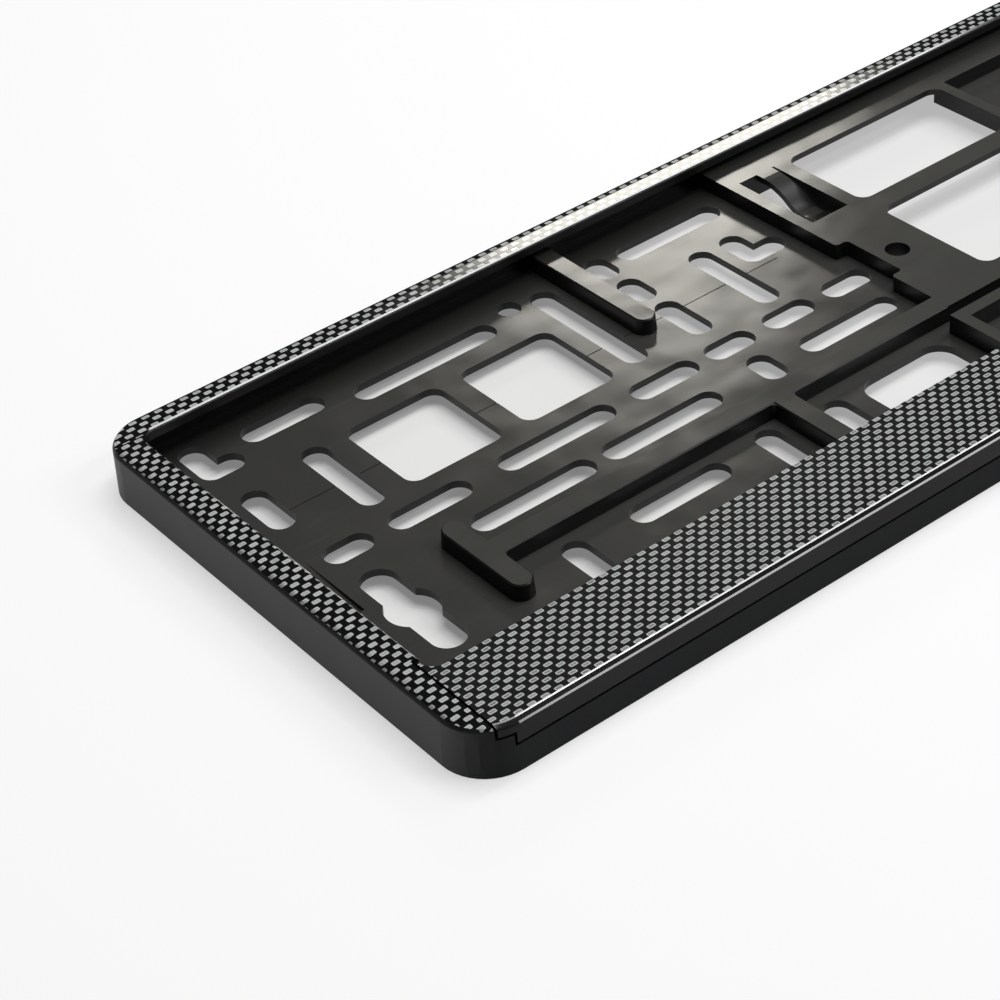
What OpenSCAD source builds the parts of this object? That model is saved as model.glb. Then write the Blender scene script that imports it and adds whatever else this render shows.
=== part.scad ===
// Number plate holder: a slotted moulded tray and a clip-on lower strip.
// X runs along the plate, Y up the plate and Z out from the car; the back lies on Z = 0.
// Places along the holder are distances from its middle, because both halves mirror.
// Places up the holder are heights above its lower outer edge.

/* [Overall] */
// Length over the end walls
holder_l = 533; // [530:1:560]
// Height from the lower to the upper outer edge
holder_h = 134; // [132:1:150]
// Depth from the back edge to the face of the rim
holder_d = 12; // [11.5:0.5:15]
// Plan radius of the outer corners
corner_r = 11; // [10:0.5:14]
// Lean of the outer walls between back and face
wall_draft = 0.4; // [0.1:0.1:0.8]
// Bevel round the outer edge of the tray
edge_bevel = 0.5; // [0.3:0.1:0.8]
// Width of the gentle shoulder between that bevel and the flat of the face
shoulder_w = 2; // [1:0.1:2.5]
// Fall of that shoulder
shoulder_h = 0.25; // [0.1:0.05:0.3]
// Width of the small facets that soften the visible edges
edge_soft = 0.3; // [0.15:0.05:0.35]
// Thickness of the outer walls
wall_t = 1.8; // [1.2:0.1:2]

/* [Plate recess] */
// Length of the plate
plate_l = 520; // [510:1:520]
// Height of the plate
plate_h = 114; // [110:1:114]
// Clearance at each edge of the plate
plate_gap = 0.5; // [0.2:0.1:0.8]
// Gap for the plate between the ribs and the lip
plate_slot = 1.3; // [1:0.1:1.8]
// Thickness of the lip that holds the plate down
lip_t = 2.7; // [2:0.1:3.2]
// Reach of the lip over the ends of the plate
lip_end = 2; // [1:0.1:4]
// Reach of the lip over the upper edge of the plate
lip_top = 4; // [2:0.1:5]
// Thickness of the upper wall
top_wall_t = 2.8; // [2:0.1:4]
// Radius in the corners of the opening
opening_r = 3.5; // [2:0.5:6]
// Radius in the corners of the recess behind the rim
recess_r = 4; // [3:0.5:6]
// Bevel on the inner edge of the rim
lip_bevel = 0.6; // [0.3:0.1:0.8]

/* [Back web] */
// Height of the face of the web above the back edge
web_z = 4; // [3.4:0.1:4.5]
// Thickness of the web
web_t = 1.8; // [1.4:0.1:2.2]
// Wall of the hollow ribs and of the raised middle
rib_t = 1.6; // [1:0.1:1.9]
// Width of a rib at its top
rib_w = 5.4; // [4.6:0.1:6.4]
// Draft of the rib sides from web to top
rib_draft = 0.4; // [0.2:0.1:0.6]
// Radius in the corners between ribs
rib_fillet = 1.2; // [0.6:0.1:1.6]
// Depth of the line that the mould insert leaves across the web
insert_line = 0.15; // [0.1:0.05:0.3]
// Depth of the relief that runs along the end rim at its deep end
relief_depth = 1; // [0.6:0.1:1.1]
// Width of the screw slots
slot_w = 6.5; // [5:0.1:7]
// Diameter of the round screw holes
hole_d = 5.9; // [5:0.1:6.5]
// Side of the two square windows of each half
square_w = 25.9; // [22:0.1:26]
// Corner radius of the windows
window_r = 3.2; // [2:0.1:5]
// Corner radius of the window beside the strip
low_window_r = 5; // [3:0.5:6]
// Width of the keyhole slot
keyhole_w = 8.1; // [6:0.1:9]
// Diameter of the head opening of the keyhole
keyhole_d = 12.1; // [10:0.1:13]
// Height of the upright cast-in T-bar
tbar_h = 27; // [20:0.5:30]

/* [Raised middle] */
// Distance from the middle to the edge of the raised part
raised_x = 95.7; // [93:0.1:97]
// Lower edge of the raised part
raised_y = 45.4; // [43:0.1:48]
// Upper edge of all the large windows
window_top = 118; // [112:0.5:119]
// Upper edge of the lower windows
low_window_top = 85.4; // [78:0.1:86]
// Lower edge of the lower windows
low_window_y = 51.5; // [50.5:0.1:60]
// Width of the cross bar between the windows
cross_bar = 6; // [4:0.5:8]
// Half width of the sunken middle panel
panel_x = 21.8; // [15:0.1:22]
// Distance from the middle to the near edge of the windows
window_x0 = 25; // [24.5:0.1:30]
// Distance from the middle to the far edge of the windows
window_x1 = 76.9; // [60:0.1:77]
// Outer diameter of the screw boss behind the raised part
boss_d = 10; // [8.5:0.1:11]

/* [Spring finger] */
// Width of the finger
finger_w = 5; // [4:0.1:5.5]
// Thickness of the finger
finger_t = 1.5; // [1:0.1:1.6]
// Flat length at the root of the finger
finger_root = 2.5; // [1.5:0.1:3]
// Radius of the bend down, on the upper side of the finger
finger_r = 16; // [14:0.5:18]
// Radius of the bend up, on the upper side of the finger
finger_tail_r = 9; // [8:0.5:10]
// Angle that the finger bends down
finger_turn = 35; // [28:1:36]
// Angle that the tip of the finger turns up
finger_tip = 27; // [15:1:30]
// Gap beside the finger, towards the middle of the holder
finger_side = 0.7; // [0.5:0.1:3]

/* [Clip-on strip] */
// Height of the strip on the face
strip_w = 22.4; // [20:0.1:24]
// Thickness of the face of the strip
strip_t = 2; // [1.5:0.1:2.2]
// Width of the bevel along the lower edge of the strip
strip_bevel_w = 0.8; // [0.6:0.1:1]
// Height of that bevel
strip_bevel_h = 0.55; // [0.4:0.05:0.7]
// Height of the seam between strip and tray on the lower wall
seam_z = 6.3; // [5.5:0.1:7]
// Visible joint between strip and tray
seam_gap = 0.55; // [0.3:0.05:0.6]
// Length of the raised step of the lower wall at each end of the strip
step_w = 3.6; // [2.5:0.1:6]
// Height of that step
step_z = 9; // [8:0.1:9.2]
// Radius of the fillets where the strip meets the ends of the rim
horn_r = 3.8; // [3:0.1:5]
// Width left at the tip of those fillets
horn_tip = 0.5; // [0.4:0.1:1.2]
// Gap between that tip and the lip of the rim
horn_gap = 1.2; // [0.6:0.1:1.6]
// Width of the snap hooks
hook_w = 10; // [6:0.5:14]
// Thickness of a snap hook
hook_t = 1.8; // [1.4:0.1:2.2]
// Catch of a snap hook behind the web
hook_catch = 1.2; // [0.8:0.1:1.4]
// Running clearance of the snap hooks
hook_gap = 0.25; // [0.15:0.05:0.4]

/* [Hidden] */
$fn = 48;
through = 1;

// Levels above the back edge
rib_top = holder_d - lip_t - plate_slot;
lip_under = holder_d - lip_t;
web_under = web_z - web_t;
strip_under = holder_d - strip_t;
housing_top = lip_under - seam_gap + 0.1;

// Edge of the face as [inset, drop] points, for the tray and for the strip
TRAY_EDGE = [
    [0, shoulder_h + edge_bevel + edge_soft], [edge_soft / 2, shoulder_h + edge_bevel],
    [edge_bevel, shoulder_h], [edge_bevel + shoulder_w, 0]
];
STRIP_EDGE = [
    [0, strip_bevel_h + edge_soft], [edge_soft, strip_bevel_h],
    [edge_soft + strip_bevel_w, edge_soft / 3], [2 * edge_soft + strip_bevel_w, 0]
];

// Lines of the plate recess
recess_x = plate_l / 2 + plate_gap;
recess_top = holder_h - top_wall_t;
ledge_y = recess_top - plate_h - 2 * plate_gap;
lip_x = recess_x - lip_end;
lip_y = recess_top - lip_top;

// Screw slots along the holder: [near end, far end, height]
mid_row_y = 72.6;
stem_row_y = 60.1;
low_row_y = 39.4;
ACROSS = [
    [93.9, 107.8, mid_row_y], [111.9, 126.2, mid_row_y], [130.3, 143.9, mid_row_y],
    [147.3, 165.9, mid_row_y], [171.6, 203.3, mid_row_y], [211.4, 232.6, mid_row_y],
    [237.3, 249.2, mid_row_y],
    [97.8, 126.6, stem_row_y], [151.6, 184.6, stem_row_y], [187.6, 220.4, stem_row_y],
    [168.0, 194.7, low_row_y],
    [99.6, 130.9, 118.1], [170.7, 210.1, 115.6], [216.0, 237.6, 120.0]
];

// Screw slots up the holder: [distance, lower end, upper end]
under_strip_y = 19;
UPRIGHT = [
    [248.0, 87.1, 103.1], [229.4, 80.6, 107.0], [155.1, 81.6, 120.0], [117.4, 78.8, 107.0],
    [137.1, 112.3, 122.0], [137.1, 99.1, 110.0], [137.1, 80.0, 96.6], [137.1, 55.2, 65.7],
    [137.1, under_strip_y, 41.4], [155.1, under_strip_y, 43.8], [209.7, under_strip_y, 42.7]
];

// L-shaped slots: [near edge, far edge, corner height, top, distance of the upright arm]
L_SLOTS = [[241.0, 252.2, 111.6, 126.0], [97.9, 110.8, 93.7, 107.1]];

square_x = [162.9, 194.6];
square_y = 80.8;
round_hole = [163.5, 119.2];
keyhole_x = 245.1;
keyhole_y = [32.5, 48.2, 63.6];
low_window = [102.5, 129, 22, 41.4];
relief_x = 252.5;
relief_y = [54.3, 76];
insert_y = 91.6;
insert_x = [104.5, 245.5];

// Ribs
stem_y = raised_y + rib_w / 2;
tbar_x = 226.3;
tbar_y = 34.1;
band_x = 146.4;
band_end_y = 91.2;

// Raised middle
notch_depth = 3.4;
notch_y = [63.2, 81.1];
notch_r = 1;
boss = [86.7, 70.2];
spring_x = [80.9, 92.4];
spring_y = 92.4;

// Housing at the lower edge, beside the raised middle
housing_x = [60, 99];
housing_y = 41.8;
housing_t = 3.2;

// Snap hooks
HOOKS = [38, 128, 218];
hook_y = 6;
hook_tip_z = 0.7;

// Pockets behind the hollow ends of the rim
rim_pockets = 4;
pocket_web = 1.5;

// A block with rounded corners in plan whose edge follows a profile of [offset, height] points
module slab(x, y0, y1, r, profile) {
    low = profile[0][1];
    high = profile[len(profile) - 1][1];
    module section(lo, hi)
        polygon(concat(
            [for (p = profile) [hi + p[0], p[1]]],
            [for (i = [len(profile) - 1:-1:0]) [lo - profile[i][0], profile[i][1]]]));
    translate([-(x - r), 0, 0])
        rotate([90, 0, 90]) linear_extrude(2 * (x - r)) section(y0, y1);
    translate([0, y1 - r, 0])
        rotate([90, 0, 0]) linear_extrude(y1 - y0 - 2 * r) section(-x, x);
    for (sx = [-1, 1], cy = [y0 + r, y1 - r])
        translate([sx * (x - r), cy, 0])
            rotate_extrude()
                polygon(concat([[0, low]], [for (p = profile) [r + p[0], p[1]]], [[0, high]]));
}

// Outer form of the whole holder: leaning walls and the given edge round the face
module outer_form(edge) {
    slab(holder_l / 2, 0, holder_h, corner_r, concat([[0, 0]], [
        for (e = edge) [-e[0] - wall_draft * (holder_d - e[1]) / holder_d, holder_d - e[1]]
    ]));
}

// Both halves of a shape that is drawn at positive distances from the middle
module both() {
    children();
    mirror([1, 0, 0]) children();
}

// Round-ended slots in the plane, along and up the holder
module slot_across(x0, x1, y, w = slot_w) {
    translate([x0 + w / 2, y - w / 2]) square([x1 - x0 - w, w]);
    for (x = [x0 + w / 2, x1 - w / 2]) translate([x, y]) circle(d = w);
}

module slot_upright(x, y0, y1, w = slot_w) {
    translate([x - w / 2, y0 + w / 2]) square([w, y1 - y0 - w]);
    for (y = [y0 + w / 2, y1 - w / 2]) translate([x, y]) circle(d = w);
}

// Rectangle with rounded corners in the plane
module window(x0, x1, y0, y1, r = window_r) {
    translate([x0 + r, y0]) square([x1 - x0 - 2 * r, y1 - y0]);
    translate([x0, y0 + r]) square([x1 - x0, y1 - y0 - 2 * r]);
    for (x = [x0 + r, x1 - r], y = [y0 + r, y1 - r]) translate([x, y]) circle(r = r);
}

module l_slot(near, far, y, top) {
    slot_across(near, far, y + slot_w / 2);
    slot_upright(far - slot_w / 2, y, top);
}

module keyhole() {
    slot_upright(keyhole_x, keyhole_y[0], keyhole_y[2], keyhole_w);
    translate([keyhole_x, keyhole_y[1]]) circle(d = keyhole_d);
}

// Every opening of one half of the web
module web_openings() {
    for (s = ACROSS) slot_across(s[0], s[1], s[2]);
    for (s = UPRIGHT) slot_upright(s[0], s[1], s[2]);
    for (s = L_SLOTS) l_slot(s[0], s[1], s[2], s[3]);
    for (x = square_x) window(x, x + square_w, square_y, square_y + square_w);
    translate(round_hole) circle(d = hole_d);
    keyhole();
    window(low_window[0], low_window[1], low_window[2], low_window[3], low_window_r);
}

// Slotted web between the walls, left out behind the raised middle
module web() {
    edge = recess_x + wall_t / 2;
    difference() {
        translate([0, 0, web_under]) linear_extrude(web_t) difference() {
            window(-edge, edge, wall_t / 2, recess_top + wall_t / 2, recess_r + wall_t / 2);
            both() web_openings();
            both() raised_hollow();
            both() raised_windows();
            both() for (x = HOOKS) hook_slot(x);
        }
        both() insert_groove(insert_x[0], insert_x[1], web_z);
        both() edge_relief();
    }
}

// Relief in the web along the end rim: it starts flush and deepens towards the strip
module edge_relief() {
    translate([relief_x, 0, 0]) rotate([90, 0, 90]) linear_extrude(recess_x + wall_t - relief_x)
        polygon([
            [relief_y[0], web_z - relief_depth], [relief_y[1], web_z], [relief_y[1], web_z + through],
            [relief_y[0], web_z + through]
        ]);
}

// Fine groove that the edge of a mould insert leaves in a face at height z
module insert_groove(x0, x1, z) {
    translate([x0, insert_y, z - insert_line])
        cube([x1 - x0, 2 * insert_line, insert_line + through]);
}

// Section of a rib: drafted sides from the back of the web and softened edges at its top
module rib_section() {
    r = rib_w / 2;
    top = rib_top - edge_soft;
    polygon([
        [-r - rib_draft, web_under], [r + rib_draft, web_under], [r, top], [r - edge_soft, rib_top],
        [edge_soft - r, rib_top], [-r, top]
    ]);
}

// Rib up the holder, from y0 to y1, and the drafted round end of a rib
module rib_upright(x, y0, y1) {
    translate([x, y1, 0]) rotate([90, 0, 0]) linear_extrude(y1 - y0) rib_section();
}

module rib_across(x0, x1, y) {
    translate([x0, y, 0]) rotate([90, 0, 90]) linear_extrude(x1 - x0) rib_section();
}

module rib_end(x, y) {
    r = rib_w / 2;
    translate([x, y, 0]) rotate_extrude() polygon([
        [0, web_under], [r + rib_draft, web_under], [r, rib_top - edge_soft], [r - edge_soft, rib_top],
        [0, rib_top]
    ]);
}

// Fillet in the corner between two ribs, towards [dx, dy]
module rib_corner(x, y, dx, dy) {
    translate([x, y, web_under]) linear_extrude(rib_top - edge_soft - web_under) difference() {
        translate([dx > 0 ? -edge_soft : -rib_fillet, dy > 0 ? -edge_soft : -rib_fillet])
            square(rib_fillet + edge_soft);
        translate([dx * rib_fillet, dy * rib_fillet]) circle(r = rib_fillet);
    }
}

// T-bar, its stem and the two upright bands, all hollow from behind
module ribs() {
    tbar_ends = [tbar_y + rib_w / 2, tbar_y + tbar_h - rib_w / 2];
    side = rib_w / 2;
    rib_upright(tbar_x, tbar_ends[0], tbar_ends[1]);
    for (y = tbar_ends) rib_end(tbar_x, y);
    rib_across(raised_x - rib_t / 2, tbar_x, stem_y);
    difference() {
        rib_upright(band_x, band_end_y, recess_top + top_wall_t / 2);
        insert_groove(band_x - rib_w, band_x + rib_w, rib_top);
    }
    rib_end(band_x, band_end_y);
    rib_upright(band_x, ledge_y - wall_t / 2, stem_y);
    for (s = [-1, 1]) {
        rib_corner(band_x + s * side, stem_y - side, s, -1);
        rib_corner(tbar_x - side, stem_y + s * side, -1, s);
    }
}

module rib_cores() {
    core_w = rib_w - 2 * rib_t;
    core_top = rib_top - rib_t;
    low = web_under - through;
    translate([0, 0, low]) linear_extrude(core_top - low) {
        slot_upright(tbar_x, tbar_y + rib_t, tbar_y + tbar_h - rib_t, core_w);
        slot_across(raised_x + rib_t, tbar_x + core_w / 2, stem_y, core_w);
        slot_upright(band_x, band_end_y - core_w / 2, recess_top - rib_t, core_w);
        slot_upright(band_x, ledge_y + rib_t, stem_y + core_w / 2, core_w);
    }
}

// Plan of one half of the raised middle, and of the hollow behind it
module raised_plan() {
    difference() {
        translate([0, raised_y]) square([raised_x, recess_top + wall_t / 2 - raised_y]);
        window(raised_x - notch_depth, raised_x + notch_depth, notch_y[0], notch_y[1], notch_r);
        corner_trim(raised_x, notch_y[0], 1);
        corner_trim(raised_x, notch_y[1], -1);
    }
}

// What rounds a corner of the raised part: the material lies below the corner (1) or above it (-1)
module corner_trim(x, y, side) {
    difference() {
        translate([x - notch_r, y - side * notch_r / 2 - notch_r / 2]) square([notch_r + through, notch_r]);
        translate([x - notch_r, y - side * notch_r]) circle(r = notch_r);
    }
}

module raised_hollow() {
    difference() {
        translate([-through, raised_y + rib_t])
            square([raised_x - rib_t + through, recess_top - rib_t - raised_y - rib_t]);
        translate([raised_x - notch_depth - rib_t, notch_y[0] - rib_t])
            square([notch_depth + rib_t + through, notch_y[1] - notch_y[0] + 2 * rib_t]);
        translate([-2 * through, low_window_y - rib_t])
            square([panel_x + rib_t + 2 * through, window_top - low_window_y + 2 * rib_t]);
        translate([spring_x[0] - rib_t, spring_y - rib_t])
            square([raised_x, window_top - spring_y + 2 * rib_t]);
    }
}

// Raised middle: a thin plate on side walls, cut by windows, with a sunken panel and a boss
module raised_middle() {
    difference() {
        translate([0, 0, web_under]) linear_extrude(rib_top - web_under) raised_plan();
        translate([0, 0, web_under - through])
            linear_extrude(rib_top - rib_t - web_under + through) raised_hollow();
        translate([0, 0, web_under - through])
            linear_extrude(holder_d) raised_windows();
        translate([-through, low_window_y, web_z])
            cube([panel_x + through, window_top - low_window_y, rib_top]);
    }
    translate([boss[0], boss[1], web_under]) cylinder(h = rib_top - rib_t / 2 - web_under, d = boss_d);
}

module raised_windows() {
    high_window_y = low_window_top + cross_bar;
    window(window_x0, window_x1, low_window_y, low_window_top);
    window(window_x0, window_x1, high_window_y, window_top);
    translate([spring_x[0], spring_y])
        square([spring_x[1] - spring_x[0], window_top - spring_y]);
}

// Bent strip of one finger: a sector of a ring between two directions, in degrees
module finger_bend(r_in, from, to) {
    reach = 2 * (r_in + finger_t);
    intersection() {
        difference() {
            circle(r = r_in + finger_t);
            circle(r = r_in);
        }
        polygon([[0, 0], [reach * cos(from), reach * sin(from)], [reach * cos(to), reach * sin(to)]]);
    }
}

// Spring finger: it bends down from the upper edge of its window and turns up at the tip
module spring_finger() {
    arm = finger_r + finger_tail_r;
    root_y = window_top - finger_root;
    translate([spring_x[0] + finger_side, 0, rib_top])
        rotate([90, 0, 90]) linear_extrude(finger_w) {
            translate([root_y, -finger_t]) square([finger_root + finger_t, finger_t]);
            translate([root_y, -finger_r]) finger_bend(finger_r - finger_t, 89, 91 + finger_turn);
            translate([root_y - arm * sin(finger_turn), arm * cos(finger_turn) - finger_r])
                finger_bend(finger_tail_r, 270 - finger_tip, 270 + finger_turn);
        }
}

// Open box with thick walls that reaches under the strip
module housing() {
    translate([housing_x[0], ledge_y - wall_t, web_under]) difference() {
        cube([housing_x[1] - housing_x[0], housing_y - ledge_y + wall_t, housing_top - web_under]);
        translate([housing_t, wall_t / 2, web_t])
            cube([housing_x[1] - housing_x[0] - 2 * housing_t,
                  housing_y - ledge_y + wall_t / 2 - housing_t, housing_top]);
    }
}

// Ledge under the lower edge of the plate, which also carries the strip
module ledge() {
    translate([-recess_x, ledge_y - wall_t, web_under])
        cube([2 * recess_x, wall_t, strip_under - web_under]);
}

// Walls and rim: the outer form, opened for the plate and for the strip
module rim() {
    difference() {
        outer_form(TRAY_EDGE);
        translate([0, 0, -through]) linear_extrude(lip_under + through)
            window(-recess_x, recess_x, wall_t, recess_top, recess_r);
        slab(lip_x, ledge_y, lip_y, opening_r, [
            [0, lip_under - through], [0, holder_d - lip_bevel], [lip_bevel, holder_d],
            [lip_bevel, holder_d + through]
        ]);
        strip_space();
        both() rim_pocket_row();
    }
}

// Room for the strip: its bed between the ends of the rim, with a step at each end
module strip_space() {
    bed_top = strip_w + horn_r + horn_gap;
    difference() {
        translate([-recess_x, -through, seam_z])
            cube([2 * recess_x, bed_top + through, holder_d]);
        both() translate([recess_x - step_w, -2 * through, 0])
            cube([step_w + through, wall_t + 2 * through, step_z]);
    }
}

// Pockets that core out the ends of the rim from behind, with webs between them
module rim_pocket_row() {
    pocket_x = recess_x + wall_t;
    pocket_w = holder_l / 2 - wall_t - wall_draft - pocket_x;
    pitch = (holder_h - 2 * corner_r) / rim_pockets;
    for (i = [0:rim_pockets - 1])
        translate([pocket_x, corner_r + i * pitch + pocket_web / 2, -through])
            cube([pocket_w, pitch - pocket_web, lip_under + through]);
}

// Plan of the slot in the web that a snap hook passes through
module hook_slot(x) {
    translate([x - hook_w / 2 - hook_gap, hook_y - hook_gap])
        square([hook_w + 2 * hook_gap, hook_t + hook_catch + 2 * hook_gap]);
}

module snap_hook(x) {
    catch_z = web_under - hook_gap;
    translate([x - hook_w / 2, hook_y, 0]) rotate([90, 0, 90]) linear_extrude(hook_w)
        polygon([
            [0, hook_tip_z], [hook_t * 0.6, hook_tip_z], [hook_t + hook_catch, catch_z - 0.3],
            [hook_t + hook_catch, catch_z], [hook_t, catch_z], [hook_t, strip_under + strip_t / 2],
            [0, strip_under + strip_t / 2]
        ]);
}

// Plan of the strip, with a fillet that runs out in a narrow tip at each end
module strip_plan() {
    half = recess_x - seam_gap;
    centre_x = half - horn_tip - horn_r;
    translate([-half, -through]) square([2 * half, strip_w + through]);
    both() difference() {
        translate([centre_x, strip_w - through]) square([half - centre_x, horn_r + through]);
        translate([centre_x, strip_w + horn_r]) circle(r = horn_r);
    }
}

module base_tray() {
    color("#2e2e2c") translate([0, -holder_h / 2, 0]) union() {
        rim();
        web();
        ledge();
        difference() {
            both() {
                ribs();
                raised_middle();
                spring_finger();
                housing();
            }
            both() rib_cores();
            both() translate([boss[0], boss[1], -through]) cylinder(h = holder_d, d = hole_d);
        }
    }
}

module clip_strip() {
    half = recess_x - seam_gap;
    color("#3a3c3b") translate([0, -holder_h / 2, 0]) union() {
        difference() {
            intersection() {
                outer_form(STRIP_EDGE);
                translate([0, 0, seam_z + seam_gap]) linear_extrude(holder_d) strip_plan();
            }
            translate([-half - through, wall_t, 0])
                cube([2 * half + 2 * through, strip_w + horn_r, lip_under]);
            translate([-half - through, wall_t, 0])
                cube([2 * half + 2 * through, strip_w - wall_t - strip_t, strip_under]);
            both() translate([half - step_w, -through, 0])
                cube([step_w + through, wall_t + 2 * through, step_z + seam_gap]);
        }
        both() for (x = HOOKS) snap_hook(x);
    }
}

base_tray();
clip_strip();
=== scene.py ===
import math

import bmesh
import bpy
from mathutils import Matrix, Vector

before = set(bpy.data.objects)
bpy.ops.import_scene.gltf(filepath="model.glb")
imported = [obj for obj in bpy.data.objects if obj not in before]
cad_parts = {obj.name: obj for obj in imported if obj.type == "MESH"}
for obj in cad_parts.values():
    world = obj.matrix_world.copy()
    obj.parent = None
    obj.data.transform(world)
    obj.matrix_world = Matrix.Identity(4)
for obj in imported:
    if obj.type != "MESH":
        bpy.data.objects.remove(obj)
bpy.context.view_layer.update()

# Base tray: one injection moulding in black polypropylene, screwed flat to the car.
# The web and ribs keep the satin skin of the mould and the outer walls are duller. The face of the
# rim and its inner bevel carry a printed carbon look under clear lacquer.

MM_PER_M = 1000.0


def node_of(tree, kind, **settings):
    node = tree.nodes.new(kind)
    for name, value in settings.items():
        setattr(node, name, value)
    return node


def feed(tree, node, socket, source):
    """Sets a socket to a plain value, or links it to an output of another node."""
    if isinstance(source, bpy.types.NodeSocket):
        tree.links.new(source, node.inputs[socket])
    else:
        node.inputs[socket].default_value = source


def maths(tree, operation, first, second=0.0):
    node = node_of(tree, "ShaderNodeMath", operation=operation)
    feed(tree, node, 0, first)
    feed(tree, node, 1, second)
    return node.outputs[0]


def plus(tree, first, second):
    return maths(tree, "ADD", first, second)


def minus(tree, first, second):
    return maths(tree, "SUBTRACT", first, second)


def times(tree, first, second):
    return maths(tree, "MULTIPLY", first, second)


def above(tree, value, limit):
    """Mask, 1 where the value is above the limit and 0 elsewhere."""
    return maths(tree, "GREATER_THAN", value, limit)


def below(tree, value, limit):
    return maths(tree, "LESS_THAN", value, limit)


def either(tree, first, second):
    """Mask, 1 where one of the two masks is."""
    return maths(tree, "MAXIMUM", first, second)


def at_least_zero(tree, value):
    return maths(tree, "MAXIMUM", value, 0.0)


def squares(tree, first, second):
    return plus(tree, maths(tree, "POWER", first, 2.0), maths(tree, "POWER", second, 2.0))


def ramp(tree, value, low, high, start=0.0, end=1.0):
    """Smooth step from start to end while the value goes from low to high."""
    node = node_of(tree, "ShaderNodeMapRange", interpolation_type="SMOOTHSTEP")
    for socket, source in (("Value", value), ("From Min", low), ("From Max", high),
                           ("To Min", start), ("To Max", end)):
        feed(tree, node, socket, source)
    return node.outputs["Result"]


def pick(tree, mask, elsewhere, there):
    """The value there where the mask is 1, and the value elsewhere where it is 0."""
    return ramp(tree, mask, 0.0, 1.0, elsewhere, there)


def blend_colour(tree, factor, first, second):
    """First colour where the factor is 0, second where it is 1; sockets 6 and 7 take colours."""
    node = node_of(tree, "ShaderNodeMix", data_type="RGBA")
    feed(tree, node, 0, factor)
    feed(tree, node, 6, first)
    feed(tree, node, 7, second)
    return node.outputs[2]


def split_axes(tree, vector):
    node = node_of(tree, "ShaderNodeSeparateXYZ")
    feed(tree, node, 0, vector)
    return node.outputs["X"], node.outputs["Y"], node.outputs["Z"]


def noise(tree, vector, scale, detail, roughness, stretch=(1, 1, 1)):
    mapping = node_of(tree, "ShaderNodeMapping")
    feed(tree, mapping, "Vector", vector)
    mapping.inputs["Scale"].default_value = stretch
    node = node_of(tree, "ShaderNodeTexNoise")
    feed(tree, node, "Vector", mapping.outputs[0])
    feed(tree, node, "Scale", scale)
    feed(tree, node, "Detail", detail)
    feed(tree, node, "Roughness", roughness)
    return node.outputs["Fac"]


def new_group(name, inputs, outputs):
    """Empty node group; inputs maps names to defaults, outputs lists names of plain values."""
    group = bpy.data.node_groups.new(name, "ShaderNodeTree")
    for label, value in inputs.items():
        kind = "NodeSocketVector" if value == "vector" else "NodeSocketFloat"
        socket = group.interface.new_socket(label, in_out="INPUT", socket_type=kind)
        if kind == "NodeSocketFloat":
            socket.default_value = value
    for label in outputs:
        group.interface.new_socket(label, in_out="OUTPUT", socket_type="NodeSocketFloat")
    return group, group.nodes.new("NodeGroupInput").outputs, group.nodes.new("NodeGroupOutput")


def carbon_print():
    """Rows of short bright dashes, each row shifted by half a pitch, as in a printed plain weave.

    One dash has its middle at Start X, Start Y. All lengths are in millimetres.
    """
    dash_corner = 0.3
    core_inset = 0.4 * dash_corner
    tree, given, result = new_group(
        "carbon_print",
        {"Position": "vector", "Start X": -224.83, "Start Y": -46.67, "Pitch": 3.26, "Row": 1.64,
         "Skew": 0.085, "Length": 1.8, "Width": 0.96, "Soft": 0.1},
        ("Mask", "Core", "Shade"))
    x, y, _ = split_axes(tree, given["Position"])
    x = minus(tree, times(tree, x, MM_PER_M), given["Start X"])
    y = minus(tree, times(tree, y, MM_PER_M), given["Start Y"])

    # Number of the row, and the distance from its middle line
    rows = plus(tree, maths(tree, "DIVIDE", y, given["Row"]), 0.5)
    row = maths(tree, "FLOOR", rows)
    across = times(tree, minus(tree, minus(tree, rows, row), 0.5), given["Row"])

    # Number of the dash in its row, and the distance from its middle
    half_step = times(tree, plus(tree, maths(tree, "PINGPONG", row, 1.0), 1.0), 0.5)
    slanted = plus(tree, x, times(tree, y, given["Skew"]))
    dashes = plus(tree, maths(tree, "DIVIDE", slanted, given["Pitch"]), half_step)
    dash = maths(tree, "FLOOR", dashes)
    along = times(tree, minus(tree, minus(tree, dashes, dash), 0.5), given["Pitch"])

    # Distance from the rounded outline of the dash, which is below zero inside it
    past = []
    for reach, size in ((along, "Length"), (across, "Width")):
        half = minus(tree, times(tree, given[size], 0.5), dash_corner)
        past.append(at_least_zero(tree, minus(tree, maths(tree, "ABSOLUTE", reach), half)))
    edge = minus(tree, maths(tree, "SQRT", squares(tree, *past)), dash_corner)
    soft = given["Soft"]
    feed(tree, result, "Mask", ramp(tree, edge, times(tree, soft, -1.0), soft, 1.0, 0.0))
    feed(tree, result, "Core", ramp(tree, edge, -dash_corner, -core_inset, 1.0, 0.0))

    # A chance value of its own for each dash
    number = node_of(tree, "ShaderNodeCombineXYZ")
    feed(tree, number, 0, dash)
    feed(tree, number, 1, row)
    chance = node_of(tree, "ShaderNodeTexWhiteNoise", noise_dimensions="3D")
    feed(tree, chance, "Vector", number.outputs[0])
    feed(tree, result, "Shade", chance.outputs["Value"])
    return tree


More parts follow.
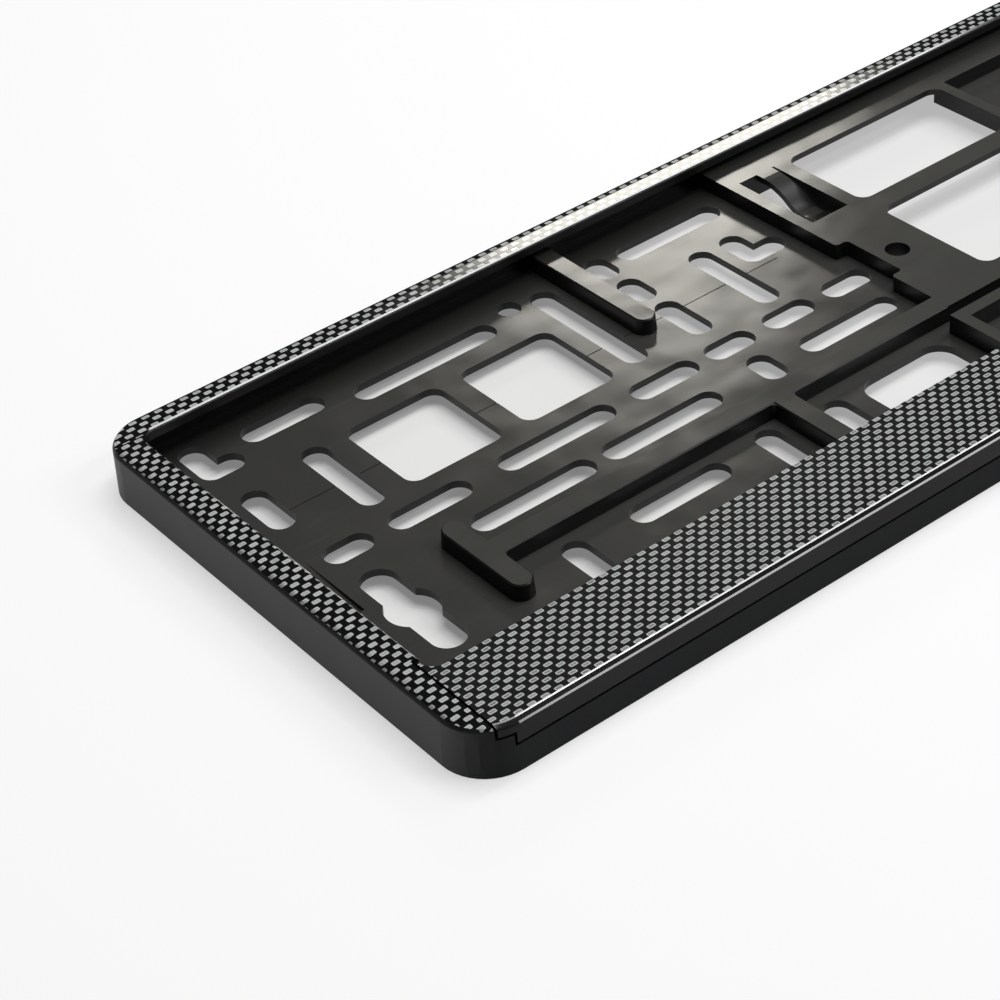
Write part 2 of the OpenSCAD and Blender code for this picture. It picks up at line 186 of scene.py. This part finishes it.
def moulded_skin():
    """Fine grain, slow waves, soft clouds and faint scuffs of a moulded surface."""
    tree, given, result = new_group(
        "moulded_skin", {"Position": "vector", "Grain": 0.03, "Waves": 1.8},
        ("Height", "Clouds", "Scuffs"))
    position = given["Position"]
    grain = noise(tree, position, scale=2600.0, detail=2.0, roughness=0.6)
    clouds = noise(tree, position, scale=38.0, detail=4.0, roughness=0.6)
    scuffs = noise(tree, position, scale=420.0, detail=4.0, roughness=0.6, stretch=(0.12, 1.0, 1.0))
    waves = noise(tree, position, scale=75.0, detail=1.0, roughness=0.4)
    height = plus(tree, times(tree, grain, given["Grain"]), times(tree, waves, given["Waves"]))
    feed(tree, result, "Height", height)
    feed(tree, result, "Clouds", clouds)
    scuff_starts, scuff_full = 0.55, 0.8
    feed(tree, result, "Scuffs", ramp(tree, scuffs, scuff_starts, scuff_full))
    return tree


def start_material(name, ior):
    """New plastic with its lacquer set up, and the position and the facing of its surface."""
    material = bpy.data.materials.new(name)
    material.use_nodes = True
    tree = material.node_tree
    shader = tree.nodes["Principled BSDF"]
    shader.inputs["IOR"].default_value = ior
    shader.inputs["Coat IOR"].default_value = 1.5
    shader.inputs["Coat Roughness"].default_value = 0.08
    position = node_of(tree, "ShaderNodeTexCoord").outputs["Object"]
    facing = node_of(tree, "ShaderNodeNewGeometry").outputs["True Normal"]
    return material, tree, shader, position, facing


def use_group(tree, group, **sources):
    node = node_of(tree, "ShaderNodeGroup", node_tree=group)
    for label, source in sources.items():
        feed(tree, node, label, source)
    return node.outputs


def skin_bump(tree, shader, skin, lacquered):
    """Raises the moulded skin, by about a tenth of a millimetre, where no lacquer covers it."""
    node = node_of(tree, "ShaderNodeBump")
    node.inputs["Distance"].default_value = 0.0001
    feed(tree, node, "Height", times(tree, skin["Height"], minus(tree, 1.0, lacquered)))
    feed(tree, shader, "Normal", node.outputs[0])


def cloudy(tree, skin, smoothest, roughest):
    """Roughness that drifts with the clouds of the moulded skin."""
    return ramp(tree, skin["Clouds"], 0.3, 0.7, smoothest, roughest)


printed_weave = carbon_print()
satin_skin = moulded_skin()

# Least Z in the direction of a face that counts as flat, and of one that counts as a bevel
flat, sloping = 0.97, 0.3


def tray_plastic():
    web_black = (0.043, 0.0425, 0.0395, 1)
    shaded_black = (0.015, 0.0148, 0.014, 1)
    shaded_side_black = (0.011, 0.011, 0.0105, 1)
    lit_rib_black = (0.056, 0.0555, 0.051, 1)
    scuffed_black = (0.05, 0.05, 0.047, 1)
    wall_black = (0.006, 0.0072, 0.008, 1)
    print_black = (0.003, 0.003, 0.003, 1)
    print_grey = (0.66, 0.69, 0.675, 1)
    core_grey = (0.36, 0.38, 0.375, 1)
    web_roughness = (0.13, 0.185)
    rib_polish = 0.03
    side_roughness = 0.38
    wall_roughness = 0.46
    front_wall_roughness = 0.8
    lacquer_roughness = 0.11
    lacquer_weight = 0.4
    material, tree, shader, position, facing = start_material("tray_plastic", ior=1.38)
    x, y, z = split_axes(tree, position)
    facing_x, facing_y, facing_z = split_axes(tree, facing)
    from_middle = maths(tree, "ABSOLUTE", x)
    from_centre_line = maths(tree, "ABSOLUTE", y)
    upward = above(tree, facing_z, flat)

    # Face of the rim, and the bevel that leads down from it to the plate; the print stops at the
    # bevel of the upper rim and runs on over the bevels of the end rims
    rim_face_z = 0.01155
    upper_rim_y = 0.0595
    bevel_start_z = 0.0113
    upper_bevel_start_z = 0.01168
    inner_x, inner_y = 0.2625, 0.0625
    on_face = times(tree, upward, above(tree, z, rim_face_z))
    on_upper_rim = above(tree, y, upper_rim_y)
    bevel_z = pick(tree, on_upper_rim, bevel_start_z, upper_bevel_start_z)
    on_bevel = times(tree, above(tree, facing_z, sloping), above(tree, z, bevel_z))
    on_bevel = times(tree, on_bevel, below(tree, from_middle, inner_x))
    on_bevel = times(tree, on_bevel, below(tree, y, inner_y))
    end_bevel = times(tree, on_bevel, above(tree, maths(tree, "ABSOLUTE", facing_x), sloping))
    printed = either(tree, on_face, end_bevel)
    lacquered = either(tree, on_face, on_bevel)

    # Outer walls, with the round of the corners
    wall_x, wall_y = 0.2655, 0.0660
    corner_radius = 0.011
    past_x = at_least_zero(tree, minus(tree, from_middle, wall_x - corner_radius))
    past_y = at_least_zero(tree, minus(tree, from_centre_line, wall_y - corner_radius))
    on_wall = above(tree, squares(tree, past_x, past_y), corner_radius * corner_radius)

    # Colour of the bare plastic, which is darker in the shade of the lip along the upper rim
    rib_top_z = 0.0079
    shade_starts_y, shade_full_y = 0.05, 0.059
    skin = use_group(tree, satin_skin, Position=position)
    # Painted light: the tops of the ribs and of the raised middle get a lighter black than the web
    on_rib = times(tree, upward, above(tree, z, rib_top_z))
    bare = blend_colour(tree, on_rib, web_black, lit_rib_black)
    bare = blend_colour(tree, skin["Scuffs"], bare, scuffed_black)
    bare = blend_colour(tree, ramp(tree, y, shade_starts_y, shade_full_y), bare, shaded_black)
    # Painted shade: faces that do not face up get a darker black than the web
    bare = blend_colour(tree, upward, shaded_side_black, bare)
    bare = blend_colour(tree, on_wall, bare, wall_black)

    # Colour of the print: the end rims and the upper rim each have their own start and pitch, and
    # the dashes are thinner on the outer edge of the end rims
    end_rim = {"Start X": -263.2, "Start Y": -8.86, "Pitch": 3.27, "Row": 1.82}
    upper_rim = {"Start X": -243.8, "Start Y": 64.97, "Pitch": 3.33, "Row": 1.9}
    worn_starts_x, worn_print = 0.2642, 0.35
    core_share, chance_share = 0.6, 0.4
    layout = {label: pick(tree, on_upper_rim, end_rim[label], upper_rim[label])
              for label in end_rim}
    weave = use_group(tree, printed_weave, Position=position, Skew=0.02, Width=1.08, Soft=0.12,
                      **layout)
    depth = plus(tree, times(tree, weave["Core"], core_share),
                 times(tree, weave["Shade"], chance_share))
    wear = ramp(tree, from_middle, worn_starts_x, wall_x, 1.0, worn_print)
    dash = times(tree, times(tree, weave["Mask"], wear), printed)
    decor = blend_colour(tree, dash, print_black,
                         blend_colour(tree, depth, print_grey, core_grey))
    feed(tree, shader, "Base Color", blend_colour(tree, lacquered, bare, decor))

    # Gloss: satin on the web, a little smoother on the ribs, dull on the walls and dullest in front
    facing_front, facing_end = -0.95, -0.3
    satin = cloudy(tree, skin, *web_roughness)
    satin = minus(tree, satin, times(tree, on_rib, rib_polish))
    satin = pick(tree, upward, side_roughness, satin)
    wall = ramp(tree, facing_y, facing_front, facing_end, front_wall_roughness, wall_roughness)
    satin = pick(tree, on_wall, satin, wall)
    feed(tree, shader, "Roughness", pick(tree, lacquered, satin, lacquer_roughness))
    feed(tree, shader, "Coat Weight", times(tree, lacquered, lacquer_weight))
    skin_bump(tree, shader, skin, lacquered)
    return material


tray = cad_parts["base_tray"]
tray_finish = tray_plastic()
for index in range(len(tray.material_slots)):
    tray.material_slots[index].material = tray_finish

# Clip-on strip: a separate moulding in the same plastic, hooked on along the lower edge of the
# tray. Its face carries the same print at a slightly finer pitch, under lacquer that runs on over
# the bevel, and its lower wall is left bare.


def strip_plastic():
    wall_black = (0.002, 0.002, 0.002, 1)
    print_black = (0.009, 0.009, 0.0085, 1)
    print_grey = (0.62, 0.65, 0.635, 1)
    core_grey = (0.17, 0.185, 0.18, 1)
    wall_roughness = (0.5, 0.56)
    lacquer_roughness = 0.15
    bevel_z = 0.0111
    even_share, chance_share = 0.55, 0.45
    material, tree, shader, position, facing = start_material("strip_plastic", ior=1.3)
    _, _, z = split_axes(tree, position)
    _, _, facing_z = split_axes(tree, facing)
    lacquered = times(tree, above(tree, facing_z, sloping), above(tree, z, bevel_z))
    skin = use_group(tree, satin_skin, Position=position)
    weave = use_group(tree, printed_weave, Position=position)
    depth = plus(tree, even_share, times(tree, weave["Shade"], chance_share))
    depth = times(tree, depth, weave["Core"])
    dash = times(tree, weave["Mask"], above(tree, facing_z, flat))
    decor = blend_colour(tree, dash, print_black,
                         blend_colour(tree, depth, print_grey, core_grey))
    feed(tree, shader, "Base Color", blend_colour(tree, lacquered, wall_black, decor))
    satin = cloudy(tree, skin, *wall_roughness)
    feed(tree, shader, "Roughness", pick(tree, lacquered, satin, lacquer_roughness))
    feed(tree, shader, "Coat Weight", lacquered)
    skin_bump(tree, shader, skin, lacquered)
    return material


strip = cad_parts["clip_strip"]
strip_finish = strip_plastic()
for index in range(len(strip.material_slots)):
    strip.material_slots[index].material = strip_finish

# Floor: a white table that keeps a soft shadow under the holder, wide enough to be the whole
# background from any side, and whiter far away. Inside the walls it carries painted shade, a
# shade darker as seen through the openings, and painted light lifts it under the raised middle.
floor_half = 12.0
floor_z = -0.0002
table_white = (0.45, 0.45, 0.45, 1)
slot_white = (0.65, 0.65, 0.64, 1)
middle_white = (0.38, 0.38, 0.375, 1)
table_glow_near, table_glow_far = 0.57, 0.97
glow_grows_from, glow_grows_to = 0.6, 3.0
# Painted shade in the low glow inside the walls, painted light in the higher glow under the raised
# middle
painted_shade_glow, painted_light_glow = 0.2, 0.45
wall_inside_x, wall_inside_y = 0.262, 0.0635
middle_half, middle_ends = 0.08, 0.19

shape = bmesh.new()
bmesh.ops.create_grid(shape, x_segments=1, y_segments=1, size=floor_half,
                      matrix=Matrix.Translation((0, 0, floor_z)))
floor_mesh = bpy.data.meshes.new("floor")
shape.to_mesh(floor_mesh)
shape.free()
floor = bpy.data.objects.new("floor", floor_mesh)
bpy.context.scene.collection.objects.link(floor)

floor_finish = bpy.data.materials.new("floor_white")
floor_finish.use_nodes = True
floor_tree = floor_finish.node_tree
floor_shader = floor_tree.nodes["Principled BSDF"]
floor_shader.inputs["Roughness"].default_value = 1.0
floor_shader.inputs["Specular IOR Level"].default_value = 0.0
floor_position = node_of(floor_tree, "ShaderNodeTexCoord").outputs["Object"]
floor_x, floor_y, _ = split_axes(floor_tree, floor_position)
floor_x = maths(floor_tree, "ABSOLUTE", floor_x)
floor_y = maths(floor_tree, "ABSOLUTE", floor_y)
inside = times(floor_tree, below(floor_tree, floor_x, wall_inside_x),
               below(floor_tree, floor_y, wall_inside_y))
middle = ramp(floor_tree, floor_x, middle_half, middle_ends, 1.0, 0.0)
under = blend_colour(floor_tree, middle, slot_white, middle_white)
feed(floor_tree, floor_shader, "Base Color", blend_colour(floor_tree, inside, table_white, under))

# The glow that makes the background white shows to the camera and in gloss, and lights nothing else
floor_rays = node_of(floor_tree, "ShaderNodeLightPath").outputs
seen = either(floor_tree, floor_rays["Is Camera Ray"], floor_rays["Is Glossy Ray"])
seen = either(floor_tree, seen, floor_rays["Is Transmission Ray"])
away = node_of(floor_tree, "ShaderNodeVectorMath", operation="LENGTH")
feed(floor_tree, away, 0, floor_position)
around = ramp(floor_tree, away.outputs["Value"], glow_grows_from, glow_grows_to,
              table_glow_near, table_glow_far)
# Glow with painted shade inside the walls and painted light under the raised middle
glow = pick(floor_tree, inside, around, pick(floor_tree, middle, painted_shade_glow, painted_light_glow))
floor_shader.inputs["Emission Color"].default_value = (1, 1, 1, 1)
feed(floor_tree, floor_shader, "Emission Strength", times(floor_tree, seen, glow))
floor_mesh.materials.append(floor_finish)

# Studio light: a dark room with one broad softbox straight above the holder, which lights it all.
# A small softbox beyond it lies in the satin web and the lacquered rim as a bright patch, and three
# long narrow ones draw the thin lines on the edges of the strip and the rim.
world = bpy.data.worlds.new("studio")
world.use_nodes = True
bpy.context.scene.world = world
world.node_tree.nodes["Background"].inputs["Color"].default_value = (0.06, 0.061, 0.063, 1)


def softbox(name, aim, turn, rise, twist, far, size, radiance, colour=(1.0, 1.0, 1.0)):
    """Area lamp at a distance from aim, at a turn from +X and a rise from the floor, in degrees.

    Its face has the given radiance, and twist turns it about its own axis.
    """
    lamp = bpy.data.lights.new(name, "AREA")
    lamp.shape = "RECTANGLE"
    lamp.size, lamp.size_y = size
    lamp.energy = radiance * math.pi * size[0] * size[1]
    lamp.color = colour
    stand = bpy.data.objects.new(name, lamp)
    bpy.context.scene.collection.objects.link(stand)
    turn, rise = math.radians(turn), math.radians(rise)
    way = Vector((math.cos(rise) * math.cos(turn), math.cos(rise) * math.sin(turn),
                  math.sin(rise)))
    stand.matrix_world = (Matrix.Translation(Vector(aim) + far * way)
                          @ (-way).to_track_quat("-Z", "Y").to_matrix().to_4x4()
                          @ Matrix.Rotation(math.radians(twist), 4, "Z"))


lower_edge = (-0.13, -0.067, 0.012)
upper_edge = (-0.13, 0.0605, 0.012)
softbox("softbox_beyond", (-0.11, 0.03, 0.01), turn=51.4, rise=28.4, twist=-29, far=2.0,
        size=(0.35, 0.37), radiance=9.4, colour=(1.0, 0.965, 0.88))
softbox("softbox_above", (0.05, 0.06, 0), turn=0, rise=90, twist=0, far=1.1,
        size=(0.7, 0.7), radiance=5.2)
softbox("softbox_strip_face", lower_edge, turn=7.7, rise=53.4, twist=-9.5, far=2.0,
        size=(0.12, 1.0), radiance=17.0)
softbox("softbox_strip_wall", lower_edge, turn=-44.6, rise=34.1, twist=60.4, far=2.0,
        size=(0.12, 1.0), radiance=9.0)
softbox("softbox_lip", upper_edge, turn=-46.2, rise=43.1, twist=56.8, far=2.0,
        size=(0.08, 0.92), radiance=24.0)

# Camera: a long lens from the lower left corner, where the photograph was taken.
# Its place, direction and roll come from the two vanishing points of the holder's edges.
camera_data = bpy.data.cameras.new("camera")
camera_data.lens = 95.04
camera_data.sensor_width = 36.0
camera_data.clip_start = 0.01
camera_data.clip_end = 100.0
camera = bpy.data.objects.new("camera", camera_data)
bpy.context.scene.collection.objects.link(camera)
camera_place = Vector((-0.46611, -0.36199, 0.33837))
camera_look = Vector((0.46243, 0.64854, -0.60461))
camera_roll = math.radians(-5.06)
camera.rotation_mode = "QUATERNION"
camera.matrix_world = (Matrix.Translation(camera_place)
                       @ camera_look.to_track_quat("-Z", "Y").to_matrix().to_4x4()
                       @ Matrix.Rotation(camera_roll, 4, "Z"))
bpy.context.scene.camera = camera
bpy.context.scene.view_settings.view_transform = "Standard"
